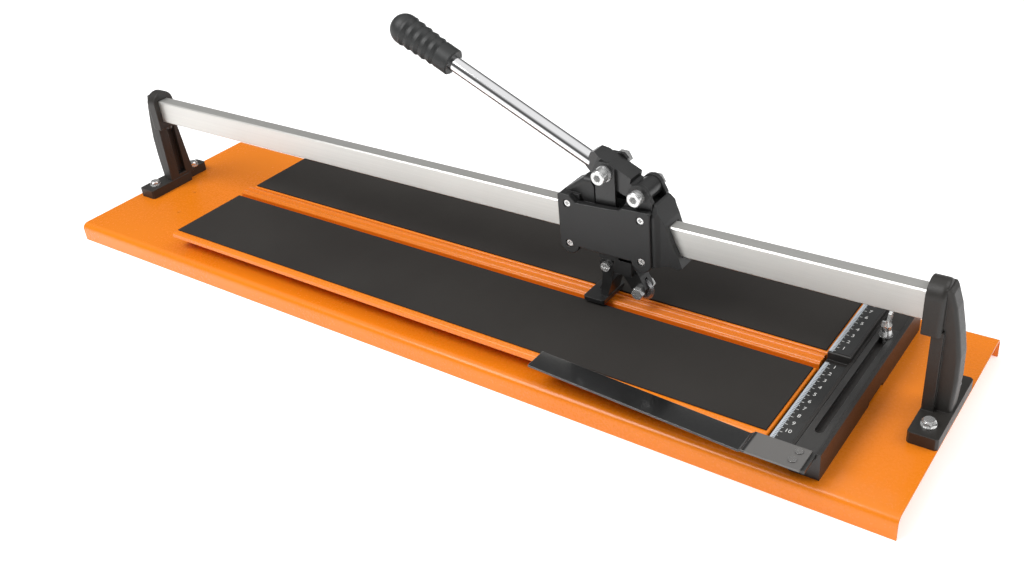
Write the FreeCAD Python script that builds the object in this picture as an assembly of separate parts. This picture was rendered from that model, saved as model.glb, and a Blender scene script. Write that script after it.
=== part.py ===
import FreeCAD, Part
import math
import os

# Manual tile cutter: sprung bed on a folded base, guide rail on two posts, scoring and snapping carriage.
# X runs along the rail, Y across the bed with the cutting line at y = 0, Z is up from the table.
# Everything is in millimetres.

V = FreeCAD.Vector

# ---- base ----
base_length = 945.0
base_width = 250.0
base_height = 20.0          # top face of the folded plate above the table
base_sheet = 1.5
base_bend_radius = 7.0
channel_width = 46.0        # stiffener under the cutting line, standing on the table
channel_sheet = 1.5
channel_inset = 40.0

# ---- bed halves ----
bed_left = -322.5
bed_right = 366.0
bed_depth = 97.5            # one half, measured across
bed_top = 38.5
bed_sheet = 1.2
bed_lip = 5.5
bed_lip_radius = 2.0
bed_gap = 11.2              # cutting line to the inner edge of a half
pad_thickness = 1.5
pad_margin = 2.5
pad_outer_margin = 6.5
spring_wire = 1.4
spring_radius = 6.0
spring_turns = 4
spring_stations = (-250.0, 22.0, 294.0)
spring_offset = 84.0        # from the cutting line

# ---- breaking ridge ----
ridge_width = 16.0
ridge_top = 41.2
ridge_sheet = 1.5
ridge_bead_radius = 2.4
ridge_foot = 9.0
rivet_radius = 2.4
rivet_head_radius = 4.2
rivet_head = 1.2
rivet_fit = 0.02

# ---- posts ----
foot_length = 87.0
foot_width = 23.5
foot_height = 10.5
foot_chamfer = 2.0
foot_notch = 6.0            # step in the foot's inner edge, behind the column
foot_notch_y = 14.5
post_top = 141.5
head_half = 13.5
head_overhang = 7.0         # head past the foot, over the rail
head_depth = 15.0
head_low = 98.0
web_front = 13.0
web_rear = 20.0
web_thickness = 9.0
recess_front = -1.0         # slot up the inner face of the column
recess_rear = 9.5
recess_depth = 6.5
rib_half = 9.0
bolt_spread = 29.0          # centre of the foot to each bolt
bolt_radius = 3.0
bolt_hole = 3.3
bolt_flats = 10.0
rail_screw_radius = 2.0
left_post_inset = 6.0       # the left post stands in from the end of the base

# ---- rail ----
rail_width = 14.0
rail_height = 26.0
rail_bottom = 106.0
rail_wall = 2.6
rail_chamfer = 1.2
rail_fit = 0.15
rail_seat = 8.0             # length held in each post

# ---- carriage ----
carriage_x = 174.3          # middle of the four rollers
roller_spread = 72.2
roller_radius = 6.6
roller_width = 10.0
roller_gap = 0.1            # rail to roller
axle_radius = 3.0
axle_fit = 0.05
body_half = 14.0
body_reach = 45.0
body_low = 105.0
body_waist = 140.0          # top of the body between its two ends
body_left_top = 146.5
body_right_top = 148.0
body_end = 18.5             # length of the raised ends
hood_half = 11.0
hood_top = 162.5
lobe_radius = 9.5
cover_thickness = 5.7
cover_gap = 0.3
cover_top = 147.5
cover_dip = 142.0
cover_screw_radius = 1.5
cover_head_radius = 3.2
cover_recess = 3.4
rail_clearance = 0.6
shroud_wall = 2.2
shroud_half = 12.5
shroud_root_half = 17.5

# ---- lever ----
pivot_dx = 31.7             # pivot bolt from the carriage middle
pivot_z = 158.0
link_arm = 35.4             # pivot bolt to link bolt
link_angle = 156.9          # direction from the pivot to the link bolt, seen from the front
lever_angle = 154.9         # direction of the rod
rod_offset = -6.5           # rod axis below the line through the pivot
rod_radius = 7.0
rod_start = 34.0
grip_start = 209.5
grip_length = 71.5
grip_radius = 12.4
grip_ball = 14.2
grip_ribs = 5
block_half = 9.5
block_top = 7.1
block_low = -11.0
block_end = 56.5
block_nose_half = 5.5       # half-width of the block where the rod enters
big_bolt_radius = 4.0
big_head_radius = 6.5
big_head = 8.0
nut_flats = 13.0
nut_height = 6.5
lug_inner = 9.8
lug_radius = 10.0
link_slot_clear = 0.3
link_slot_in = 1.0          # travel of the link bolt towards the pivot
link_slot_out = 5.0

# ---- tool carrier ----
cheek_inner = 9.8
cheek_outer = 12.6
cheek_half = 9.7            # half the width of a cheek, along the rail
cheek_corner = 4.0
carrier_high = 90.0
carrier_low = 74.0
foot_pivot_dx = -4.3
foot_pivot_z = 80.0
ear_radius = 7.5
ear_inner = 6.3
ear_outer = 10.5
presser_low = 43.0
presser_thickness = 4.0
presser_left = -26.0        # from the carriage middle
presser_right = -4.5
presser_half = 19.0
wheel_dx = 25.7
wheel_z = 59.0
wheel_radius = 11.0
wheel_half = 1.5
wheel_pin = 3.0
holder_inner = 1.9
holder_outer = 7.0

# ---- side fence and sliding stop ----
fence_left = 368.6
fence_step = 387.0          # where the scale ledge meets the bar
fence_right = 411.0
fence_front = -115.0
fence_rear = 104.0
ledge_top = 40.0
fence_top = 42.0
wall_top = 44.0
wall_thickness = 3.4
rear_block_top = 47.4       # raised rear part that carries the rear scale
block_front = 1.5
scale_thickness = 0.4
scale_front = -109.0
scale_rear = 98.0
pocket_x = 398.4
pocket_width = 17.6
pocket_floor = 39.0
groove_width = 8.0
groove_floor = 36.5
slider_width = 16.8
slider_sheet = 2.7
slider_slot = 7.0
slider_rear = 62.0
slot_front = -90.0
screw_y = 52.0
screw_radius = 3.0
washer_radius = 5.8
arm_sheet = 1.8
arm_width = 22.0
arm_reach = 196.0
arm_splay = 3.4             # degrees
arm_drop = 2.0
plate_left = 359.5
plate_right = 404.0
plate_front = -137.0
plate_depth = 24.0
arm_rivets = ((396.2, -118.5), (395.4, -129.0))

clear = 0.3                 # between pieces that pass each other

# ---- derived places ----
half_length = base_length / 2
half_width = base_width / 2
pad_top = bed_top + pad_thickness
rail_top = rail_bottom + rail_height
foot_inner = half_length - foot_width
post_axis = half_length - foot_width / 2
head_inner = foot_inner - head_overhang
rail_end = head_inner + rail_seat
roller_high = rail_top + roller_gap + roller_radius
roller_low = rail_bottom - roller_gap - roller_radius
pivot_x = carriage_x + pivot_dx
lever_dir = V(math.cos(math.radians(lever_angle)), 0, math.sin(math.radians(lever_angle)))
lever_up = V(lever_dir.z, 0, -lever_dir.x)
link_dir = V(math.cos(math.radians(link_angle)), 0, math.sin(math.radians(link_angle)))
link_x = pivot_x + link_dir.x * link_arm
link_z = pivot_z + link_dir.z * link_arm
wheel_x = carriage_x + wheel_dx
foot_pivot_x = carriage_x + foot_pivot_dx
cover_inner = body_half + cover_gap
cover_outer = cover_inner + cover_thickness
roller_columns = (carriage_x - roller_spread / 2, carriage_x + roller_spread / 2)
roller_places = [(x, z) for x in roller_columns for z in (roller_high, roller_low)]
slider_low = pocket_floor + clear
slider_high = slider_low + slider_sheet
plate_low = fence_top + clear
arm_low = plate_low - arm_drop


# ---- helpers ----
def box(x0, y0, z0, x1, y1, z1):
    return Part.makeBox(x1 - x0, y1 - y0, z1 - z0, V(x0, y0, z0))


def along_y(radius, x, y0, y1, z):
    return Part.makeCylinder(radius, y1 - y0, V(x, y0, z), V(0, 1, 0))


def upright(radius, x, y, z0, z1):
    return Part.makeCylinder(radius, z1 - z0, V(x, y, z0))


def hexagon(flats, start, direction, length):
    reach = flats / math.sqrt(3.0)
    corners = [math.radians(60 * i) for i in range(7)]
    ring = Part.makePolygon([V(reach * math.cos(a), reach * math.sin(a), 0) for a in corners])
    solid = Part.Face(ring).extrude(V(0, 0, length))
    solid.Placement = FreeCAD.Placement(V(*start), FreeCAD.Rotation(V(0, 0, 1), V(*direction)))
    return solid


def slab(points, travel):
    return Part.Face(Part.makePolygon(points + points[:1])).extrude(V(*travel))


def plate_xz(points, y0, y1):
    return slab([V(x, y0, z) for x, z in points], (0, y1 - y0, 0))


def plate_yz(points, x0, x1):
    return slab([V(x0, y, z) for y, z in points], (x1 - x0, 0, 0))


def plate_xy(points, z0, z1):
    return slab([V(x, y, z0) for x, y in points], (0, 0, z1 - z0))


def round_edges(shape, radius, test):
    chosen = [edge for edge in shape.Edges if test(edge.CenterOfMass, edge)]
    return shape.makeFillet(radius, chosen)


def is_upright(edge):
    a = edge.Vertexes[0].Point
    b = edge.Vertexes[-1].Point
    return abs(a.x - b.x) < 1e-6 and abs(a.y - b.y) < 1e-6


def near(a, b):
    return abs(a - b) < 1e-5


def join(first, *others):
    return first.fuse(list(others)).removeSplitter()


def mirrored_x(shape):
    return shape.mirror(V(0, 0, 0), V(1, 0, 0))


def left_end(shape):
    # the same piece at the other end of the rail
    other = mirrored_x(shape)
    other.translate(V(left_post_inset, 0, 0))
    return other


def mirrored_y(shape):
    return shape.mirror(V(0, 0, 0), V(0, 1, 0))


def both_sides(shape):
    return [shape, mirrored_y(shape)]


def save(name, *shapes):
    solids = [solid for shape in shapes for solid in shape.Solids]
    for solid in solids:
        if not solid.isValid() or solid.Volume <= 0:
            raise ValueError("bad solid in " + name)
    whole = solids[0] if len(solids) == 1 else Part.makeCompound(solids)
    whole.exportStep("parts/" + name + ".step")
    print(name, len(solids), round(whole.Volume, 1))


# ---- base ----
def bolt_places():
    return [(x, end * bolt_spread) for x in (left_post_inset - post_axis, post_axis) for end in (-1, 1)]


def ridge_rivet_places():
    inset = 30.0
    step = (bed_right - bed_left - 2 * inset) / 3
    offset = (ridge_width + ridge_foot) / 2
    return [(bed_left + inset + i * step, side * offset) for i in range(4) for side in (-1, 1)]


def fence_rivet_places():
    x = (fence_left + fence_step) / 2
    return [(x, fence_front + 40), (x, fence_rear - 40)]


def base_plate():
    top = base_height
    outer = box(-half_length, -half_width, 0, half_length, half_width, top)
    outer = round_edges(outer, base_bend_radius,
                        lambda c, e: near(c.z, top) and near(abs(c.y), half_width))
    inner = box(-half_length - 1, base_sheet - half_width, -1, half_length + 1, half_width - base_sheet,
                top - base_sheet)
    inner = round_edges(inner, base_bend_radius - base_sheet,
                        lambda c, e: near(c.z, top - base_sheet) and near(abs(c.y), half_width - base_sheet))
    plate = outer.cut(inner)
    holes = [upright(bolt_hole, x, y, 1, top + 1) for x, y in bolt_places()]
    holes += [upright(rivet_radius, x, y, 1, top + 1) for x, y in ridge_rivet_places()]
    holes += [upright(rivet_radius, x, y, 1, top + 1) for x, y in fence_rivet_places()]
    return plate.cut(holes)


def under_channel():
    reach = half_length - channel_inset
    half = channel_width / 2
    top = base_height - base_sheet
    outer = box(-reach, -half, 0, reach, half, top)
    inner = box(-reach - 1, channel_sheet - half, channel_sheet, reach + 1, half - channel_sheet, top + 1)
    return outer.cut(inner)


def breaking_ridge():
    half = ridge_width / 2
    top = ridge_top - ridge_bead_radius / 2
    shell = box(bed_left, -half, base_height, bed_right, half, top)
    shell = round_edges(shell, ridge_sheet, lambda c, e: near(c.z, top) and near(abs(c.y), half))
    feet = box(bed_left, -half - ridge_foot, base_height, bed_right, half + ridge_foot,
               base_height + ridge_sheet)
    beads = [Part.makeCylinder(ridge_bead_radius, bed_right - bed_left,
                               V(bed_left, side * half / 2, ridge_top - ridge_bead_radius), V(1, 0, 0))
             for side in (-1, 1)]
    hollow = box(bed_left - 1, ridge_sheet - half, base_height - 1, bed_right + 1, half - ridge_sheet,
                 ridge_top - 2 * ridge_bead_radius - 0.2)
    holes = [upright(rivet_radius, x, y, base_height - 1, base_height + 3) for x, y in ridge_rivet_places()]
    return join(shell, feet, *beads).cut([hollow] + holes)


def rivet(x, y, low, high):
    shank = upright(rivet_radius - rivet_fit, x, y, low, high)
    top = upright(rivet_head_radius, x, y, high, high + rivet_head)
    bottom = upright(rivet_head_radius, x, y, low - rivet_head, low)
    return join(shank, top, bottom)


# ---- bed halves, modelled on the rear side ----
def bed_half():
    outer = bed_gap + bed_depth
    shell = box(bed_left, bed_gap, bed_top - bed_lip, bed_right, outer, bed_top)
    shell = round_edges(shell, bed_lip_radius, lambda c, e: near(c.z, bed_top))
    hollow = box(bed_left + bed_sheet, bed_gap + bed_sheet, bed_top - bed_lip - 1,
                 bed_right - bed_sheet, outer - bed_sheet, bed_top - bed_sheet)
    return shell.cut(hollow)


def bed_pad():
    pad = box(bed_left + pad_margin, bed_gap + pad_margin, bed_top, bed_right - pad_margin,
              bed_gap + bed_depth - pad_outer_margin, pad_top)
    return round_edges(pad, pad_thickness / 3, lambda c, e: near(c.z, pad_top))


def bed_spring(x, y):
    # wire wound between the base plate and the underside of the bed
    low = base_height
    height = bed_top - bed_sheet - low - spring_wire
    helix = Part.makeHelix(height / spring_turns, height, spring_radius)
    half = spring_wire / 2
    angles = [math.radians(45 * i) for i in range(9)]
    section = [V(spring_radius + half * math.cos(a), 0, half * math.sin(a)) for a in angles]
    coil = Part.Wire(helix.Edges).makePipeShell([Part.makePolygon(section)], True, True)
    coil.translate(V(x, y, low + spring_wire / 2))
    return coil


# ---- posts and rail, modelled at the right-hand end ----
def arch(half, top, low, x0, x1):
    # upright slab with a round crown, standing across the rail
    arc_z = top - half
    sides = [V(x0, -half, arc_z), V(x0, -half, low), V(x0, half, low), V(x0, half, arc_z)]
    edges = [Part.makeLine(sides[i], sides[i + 1]) for i in range(3)]
    crown = Part.Arc(sides[3], V(x0, 0, top), sides[0]).toShape()
    return Part.Face(Part.Wire(edges + [crown])).extrude(V(x1 - x0, 0, 0))


def post_foot():
    foot = box(foot_inner, -foot_length / 2, base_height, half_length, foot_length / 2,
               base_height + foot_height)
    notch = box(foot_inner - 1, foot_notch_y, base_height - 1, foot_inner + foot_notch, foot_length,
                base_height + foot_height + 1)
    foot = foot.cut(notch)
    return foot.makeChamfer(foot_chamfer, [edge for edge in foot.Edges if is_upright(edge)
                                           and abs(edge.CenterOfMass.y) > foot_notch_y + 1])


def post_column():
    low = base_height + foot_height
    web_x = foot_inner + 0.5
    web = plate_yz([(-web_front, low - 1), (web_rear, low - 1), (head_half, head_low + 4),
                    (2 - head_half, head_low + 4)], web_x, web_x + web_thickness)
    recess = box(web_x - 1, recess_front, low + 4, web_x + recess_depth, recess_rear, head_low - 4)
    outer = half_length - 0.5
    rib_x = web_x + web_thickness - 1
    neck = head_inner + 4
    rib = plate_xz([(rib_x, low - 1), (outer - 1.5, low - 1), (outer, 60), (outer - 0.5, 82),
                    (outer - 3.5, 102), (outer - 7.5, 122), (outer - 11.5, post_top - 7), (outer - 14, post_top - 4),
                    (neck, post_top - 4), (neck, head_low + 6), (rib_x, head_low + 6)], -rib_half, rib_half)
    rib = round_edges(rib, rib_half * 0.35,
                      lambda c, e: near(abs(c.y), rib_half) and c.x > outer - 11 and c.z > low)
    return join(web.cut(recess), rib)


def post():
    head = arch(head_half, post_top, head_low, head_inner, head_inner + head_depth)
    head = round_edges(head, 4.0, lambda c, e: near(c.x, head_inner + head_depth) and c.z > head_low + 1)
    head = round_edges(head, 0.8, lambda c, e: near(c.x, head_inner))
    whole = join(post_foot(), post_column(), head)
    half = rail_width / 2 + rail_fit
    seat = box(head_inner - 1, -half, rail_bottom - rail_fit, rail_end + rail_fit, half, rail_top + rail_fit)
    holes = [upright(bolt_hole, post_axis, y, 0, 60) for y in (-bolt_spread, bolt_spread)]
    screw = upright(rail_screw_radius + rivet_fit, rail_screw_x(), 0, head_low - 1, rail_bottom + 1)
    return whole.cut([seat, screw] + holes)


def rail_screw_x():
    return head_inner + head_overhang / 2


def rail_screw():
    x = rail_screw_x()
    shank = upright(rail_screw_radius, x, 0, head_low - 1, rail_bottom + rail_wall + 1)
    head = upright(rail_screw_radius * 1.7, x, 0, head_low - 2.4, head_low)
    return join(shank, head)


def post_bolt(x, y):
    top = base_height + foot_height
    flange = upright(bolt_flats * 0.62, x, y, top, top + 1.4)
    head = hexagon(bolt_flats, (x, y, top + 1.4), (0, 0, 1), 4.2)
    head = head.common(Part.makeCone(bolt_flats * 0.75, bolt_flats * 0.42, 4.2, V(x, y, top + 1.4)))
    shank = upright(bolt_radius, x, y, base_height - base_sheet - 8, top + 1)
    return join(flange, head, shank)


def post_nut(x, y):
    high = base_height - base_sheet
    nut = hexagon(bolt_flats, (x, y, high - 5), (0, 0, 1), 5)
    return nut.cut(upright(bolt_radius + rivet_fit, x, y, high - 6, high + 1))


def guide_rail():
    half = rail_width / 2
    left = left_post_inset - rail_end
    bar = box(left, -half, rail_bottom, rail_end, half, rail_top)
    corners = [edge for edge in bar.Edges if edge.Length > rail_end]
    bar = bar.makeChamfer(rail_chamfer, corners)
    bore = box(left - 1, rail_wall - half, rail_bottom + rail_wall, rail_end + 1, half - rail_wall,
               rail_top - rail_wall)
    holes = [upright(rail_screw_radius + rivet_fit, x, 0, rail_bottom - 1, rail_bottom + rail_wall + 1)
             for x in (left_post_inset - rail_screw_x(), rail_screw_x())]
    return bar.cut([bore] + holes)


# ---- carriage ----
def carriage_body():
    left = carriage_x - body_reach
    right = carriage_x + body_reach
    core = box(left, -body_half, body_low, right, body_half, body_waist)
    ends = [box(left, -body_half, body_waist - 1, left + body_end, body_half, body_left_top),
            box(right - body_end - 8, -body_half, body_waist - 1, right, body_half, body_right_top)]
    lobes = [along_y(lobe_radius, x, -body_half, body_half, roller_low) for x in roller_columns]
    feet = [box(x - lobe_radius, -body_half, roller_low, x + lobe_radius, body_half, body_low + 1)
            for x in roller_columns]
    hood = plate_xz([(left + 1, body_left_top - 4), (left + 1, body_left_top + 0.5), (left + 21, hood_top),
                     (left + 28, hood_top), (left + 32, hood_top - 7), (left + 32, body_waist - 1)],
                    -hood_half, hood_half)
    hood = round_edges(hood, 4.0, lambda c, e: near(abs(c.y), hood_half) and c.z > body_left_top + 1
                       and c.x < left + 30)
    lug = plate_xz([(pivot_x - lug_radius - 4, body_waist), (right, body_waist), (right, pivot_z - 4),
                    (pivot_x + lug_radius - 1, pivot_z + 4), (pivot_x - lug_radius, pivot_z)],
                   lug_inner, body_half)
    lug = join(lug, along_y(lug_radius, pivot_x, lug_inner, body_half, pivot_z))
    whole = join(core, hood, *(ends + lobes + feet + both_sides(lug)))
    side = rail_width / 2 + rail_clearance
    cuts = [box(left - 1, -side, rail_bottom - rail_clearance, right + 1, side, rail_top + rail_clearance)]
    pocket = roller_radius + 0.8
    half = roller_width / 2 + 0.6
    for x in roller_columns:
        cuts.append(box(x - pocket, -half, roller_low - lobe_radius - 1, x + pocket, half, body_low + 3))
        cuts.append(box(x - pocket, -half, rail_top - 1, x + pocket, half, roller_high + pocket))
    cuts += [along_y(axle_radius, x, -20, 20, z) for x, z in roller_places]
    cuts.append(along_y(big_bolt_radius + axle_fit, pivot_x, -20, 20, pivot_z))
    cheek_slot = box(link_x - cheek_half - clear, side - 1, body_low - 1,
                     link_x + cheek_half + clear, cheek_outer + clear, body_right_top + 20)
    cuts += both_sides(cheek_slot)
    return whole.cut(cuts)


def cover():
    left = carriage_x - body_reach - 0.5
    right = carriage_x + body_reach + 0.5
    low = roller_low
    waist = low - 2
    points = [(left, cover_top - 1.5), (left + 2.5, cover_top), (left + 12, cover_top),
              (left + 18.5, cover_dip - 0.7), (right - 38, cover_dip + 1), (right - 30, cover_dip + 2),
              (right - 27, cover_top - 1), (right - 2, cover_top), (right, cover_top - 1.5), (right, low),
              (right - 2 * lobe_radius - 4, waist), (left + 2 * lobe_radius + 6, waist), (left, low)]
    panel = plate_xz(points, cover_inner, cover_outer)
    lobes = [along_y(lobe_radius + 0.5, x, cover_inner, cover_outer, roller_low) for x in roller_columns]
    panel = join(panel, *lobes).common(box(left, 0, 0, right - 0.1, 2 * cover_outer, 2 * cover_top))
    panel = panel.makeFillet(1.0, [edge for edge in panel.Edges if near(edge.CenterOfMass.y, cover_outer)])
    cuts = [along_y(cover_head_radius + 0.5, x, cover_outer - cover_recess, cover_outer + 1, z)
            for x, z in roller_places]
    cuts += [along_y(cover_screw_radius + 0.2, x, cover_inner - 1, cover_outer, z) for x, z in roller_places]
    return panel.cut(cuts)


def cover_screw(x, z):
    seat = cover_outer - cover_recess
    shank = along_y(cover_screw_radius, x, body_half - 7, seat + 1, z)
    head = along_y(cover_head_radius, x, seat, seat + 2.4, z)
    arms = [box(x - 1.8, seat + 1.2, z - 0.5, x + 1.8, seat + 3, z + 0.5),
            box(x - 0.5, seat + 1.2, z - 1.8, x + 0.5, seat + 3, z + 1.8)]
    return join(shank, head).cut(arms)


def roller_axle(x, z):
    pin = along_y(axle_radius, x, -body_half, body_half, z)
    ends = along_y(cover_screw_radius + rivet_fit, x, body_half - 8, body_half + 1, z)
    return pin.cut(both_sides(ends))


def roller(x, z):
    half = roller_width / 2
    wheel = along_y(roller_radius, x, -half, half, z)
    wheel = wheel.makeChamfer(0.5, [e for e in wheel.Edges if near(abs(e.CenterOfMass.y), half)])
    faces = [along_y(roller_radius - 1.2, x, side * (half - 0.2) - 0.4, side * (half - 0.2) + 0.4, z)
             .cut(along_y(axle_radius + 1.2, x, -half - 1, half + 1, z)) for side in (-1, 1)]
    return wheel.cut([along_y(axle_radius + axle_fit, x, -half - 1, half + 1, z)] + faces)


def shroud_outline(inset):
    # rib line from the pivot lug down to the tail, then back along the wavy lower edge
    start = carriage_x + body_reach + 0.6
    slope = 1.2 * inset
    return [(start, roller_low - 4.5 + inset), (start + 8, roller_low - 3 + inset),
            (start + 16 - inset, roller_low - 2 + inset), (start + 22 - slope, roller_low - 3.5 + inset),
            (start + 25.5 - slope, roller_low - 1), (start + 22 - slope, roller_low + 9),
            (start + 17.4 - slope, roller_low + 18), (start + 9.8 - slope, roller_low + 37.5),
            (start + 2, pivot_z - 6 - slope), (start, pivot_z - 5 - slope)]


def shroud():
    start = carriage_x + body_reach
    shell = plate_xz(shroud_outline(0), -shroud_root_half, shroud_root_half)
    plan = [(start - 1, -shroud_root_half), (start + 3, 0.6 - shroud_root_half),
            (start + 7, -shroud_half - 1.6), (start + 13, -shroud_half), (start + 40, -shroud_half)]
    plan += [(x, -y) for x, y in reversed(plan)]
    shell = shell.common(plate_xy(plan, roller_low - 20, pivot_z + 20))
    shoulder = body_waist + 2
    gable = [(shroud_root_half, roller_low - 20), (shroud_root_half, shoulder), (shroud_half - 1, pivot_z - 4)]
    gable += [(-y, z) for y, z in reversed(gable)]
    shell = shell.common(plate_yz(gable, start, start + 40))
    hollow = plate_xz([(x - 0.01, z) for x, z in shroud_outline(shroud_wall)],
                      shroud_wall - shroud_half, shroud_half - shroud_wall)
    side = rail_width / 2 + rail_clearance
    window = box(start, -side, rail_bottom - rail_clearance, start + 40, side, rail_top + rail_clearance)
    low = box(start, shroud_wall - shroud_half, roller_low - 20, start + 16, shroud_half - shroud_wall,
              roller_low + 2)
    return shell.cut([hollow, window, low])


# ---- lever ----
def lever_point(u, v, y=0.0):
    point = V(pivot_x, y, pivot_z) + lever_dir * u + lever_up * v
    return V(point.x, y, point.z)


def lever_slab(points, half):
    return slab([lever_point(u, v, -half) for u, v in points], (0, 2 * half, 0))


def link_slot():
    # the link bolt slides in this slot of the block while the carrier moves straight up and down
    radius = big_bolt_radius + link_slot_clear
    spots = [V(pivot_x, 0, pivot_z) + link_dir * (link_arm + step) for step in (-link_slot_in, link_slot_out)]
    ends = [along_y(radius, spot.x, -20, 20, spot.z) for spot in spots]
    lift = V(-link_dir.z, 0, link_dir.x) * radius
    corners = [spots[0] + lift, spots[1] + lift, spots[1] - lift, spots[0] - lift]
    middle = slab([V(c.x, -20, c.z) for c in corners], (0, 40, 0))
    return join(middle, *ends)


def lever_block():
    arm = lever_slab([(2, -8.5), (13, block_low), (block_end, block_low), (block_end, 3),
                      (block_end - 3, block_top), (13.1, block_top), (12.0, 2.5), (2, 2.5)], block_half)
    pivot_end = along_y(9.2, pivot_x, -block_half, block_half, pivot_z)
    whole = join(arm, pivot_end)
    cuts = []
    for side in (-1, 1):
        wedge = [(block_end - 9, side * block_half), (block_end + 1, side * (block_nose_half - 0.5)),
                 (block_end + 1, side * (block_half + 5)), (block_end - 9, side * (block_half + 5))]
        base = [lever_point(u, -30, y) for u, y in wedge]
        cuts.append(slab(base, tuple(lever_up * 60)))
    cuts.append(Part.makeCylinder(rod_radius, 60, lever_point(rod_start + 12, rod_offset), lever_dir))
    cuts.append(along_y(big_bolt_radius + axle_fit, pivot_x, -20, 20, pivot_z))
    cuts.append(link_slot())
    return whole.cut(cuts)


def lever_rod():
    start = rod_start + 12
    length = grip_start + grip_length - 6 - start
    rod = Part.makeCylinder(rod_radius, length, lever_point(start, rod_offset), lever_dir)
    return rod.makeChamfer(0.8, [e for e in rod.Edges if e.Closed])


def grip():
    # half profile turned about the rod: plain collar, ribs, then a ball end
    ball_centre = grip_length - grip_ball
    collar = 15.0
    profile = [(0, 0), (0, grip_radius - 1.2), (1.2, grip_radius), (collar, grip_radius)]
    rib = (ball_centre - collar) / grip_ribs
    for i in range(grip_ribs):
        u = collar + i * rib
        swell = (i + 1) / grip_ribs * (grip_ball - grip_radius)
        profile.append((u + rib * 0.15, grip_radius - 1.6 + swell))
        profile.append((u + rib * 0.55, grip_radius + 0.2 + swell))
        profile.append((u + rib, grip_radius - 0.4 + swell))
    profile.append((ball_centre, 0))
    outline = Part.makePolygon([V(u, r, 0) for u, r in profile + profile[:1]])
    sleeve = Part.Face(outline).revolve(V(0, 0, 0), V(1, 0, 0), 360)
    ball = Part.makeSphere(grip_ball, V(ball_centre, 0, 0))
    solid = join(sleeve, ball).cut(Part.makeCylinder(rod_radius, grip_length - 6, V(0, 0, 0), V(1, 0, 0)))
    start = lever_point(grip_start, rod_offset)
    solid.Placement = FreeCAD.Placement(start, FreeCAD.Rotation(V(1, 0, 0), lever_dir))
    return solid


def big_bolt(x, z, head_face, nut_face):
    # socket-head bolt: head in front of head_face, tail past the nut
    tail = nut_face + nut_height + 3
    shank = along_y(big_bolt_radius, x, head_face - 1, tail, z)
    head = along_y(big_head_radius, x, head_face - big_head, head_face, z)
    head = head.makeChamfer(0.7, [e for e in head.Edges if near(e.CenterOfMass.y, head_face - big_head)])
    socket = hexagon(6.0, (x, head_face - big_head + 4, z), (0, -1, 0), 6)
    return join(shank, head).cut(socket)


def big_nut(x, z, nut_face):
    nut = hexagon(nut_flats, (x, nut_face, z), (0, 1, 0), nut_height)
    return nut.cut(along_y(big_bolt_radius, x, nut_face - 1, nut_face + nut_height + 1, z))


def ring(x, z, outer, inner, y0, y1):
    return along_y(outer, x, y0, y1, z).cut(along_y(inner, x, y0 - 1, y1 + 1, z))


def link_spacers():
    start = cheek_outer
    washer = ring(link_x, link_z, big_head_radius + 0.8, big_bolt_radius, start, start + 1.6)
    collar = ring(link_x, link_z, big_head_radius - 0.4, big_bolt_radius, start + 1.6, start + 3.4)
    return both_sides(join(washer, collar))


def link_face():
    return cheek_outer + 3.4


# ---- tool carrier ----
def tool_carrier():
    left = link_x - cheek_half
    right = link_x + cheek_half
    top = link_z + cheek_half
    cheek = plate_xz([(left, carrier_high - 1.5), (right, carrier_high - 1.5), (right, top - cheek_corner),
                      (right - cheek_corner, top), (left + cheek_corner, top), (left, top - cheek_corner)],
                     cheek_inner, cheek_outer)
    cheek = cheek.cut(along_y(big_bolt_radius, link_x, cheek_inner - 1, cheek_outer + 1, link_z))
    yoke_left = foot_pivot_x + ear_radius + 1
    yoke = box(yoke_left, -cheek_outer, carrier_low + 2, wheel_x - 4, cheek_outer, carrier_high)
    bridge = box(left, -cheek_outer, carrier_high - 2, wheel_x - 8, cheek_outer, carrier_high)
    lug = plate_xz([(foot_pivot_x - 6, carrier_low + 2), (yoke_left + 1, carrier_low + 2),
                    (yoke_left + 1, carrier_high), (left, carrier_high),
                    (foot_pivot_x - 6, carrier_high - 2)],
                   clear - ear_inner, ear_inner - clear)
    holder = plate_xz([(yoke_left + 6, carrier_low + 8), (yoke_left + 4, carrier_low),
                       (wheel_x - 6, wheel_z - 1), (wheel_x - 1, wheel_z - 6), (wheel_x + 5, wheel_z - 3), (wheel_x + 6.5, wheel_z + 4),
                       (wheel_x + 1, carrier_low), (wheel_x - 4, carrier_low + 8)],
                      -holder_outer, holder_outer)
    whole = join(yoke, bridge, lug, holder, *both_sides(cheek))
    wheel_room = along_y(wheel_radius + 1, wheel_x, -holder_inner, holder_inner, wheel_z)
    cuts = [wheel_room, along_y(wheel_pin, wheel_x, -20, 20, wheel_z)]
    cuts.append(along_y(big_bolt_radius - 1 + axle_fit, foot_pivot_x, -20, 20, foot_pivot_z))
    return whole.cut(cuts)


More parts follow.
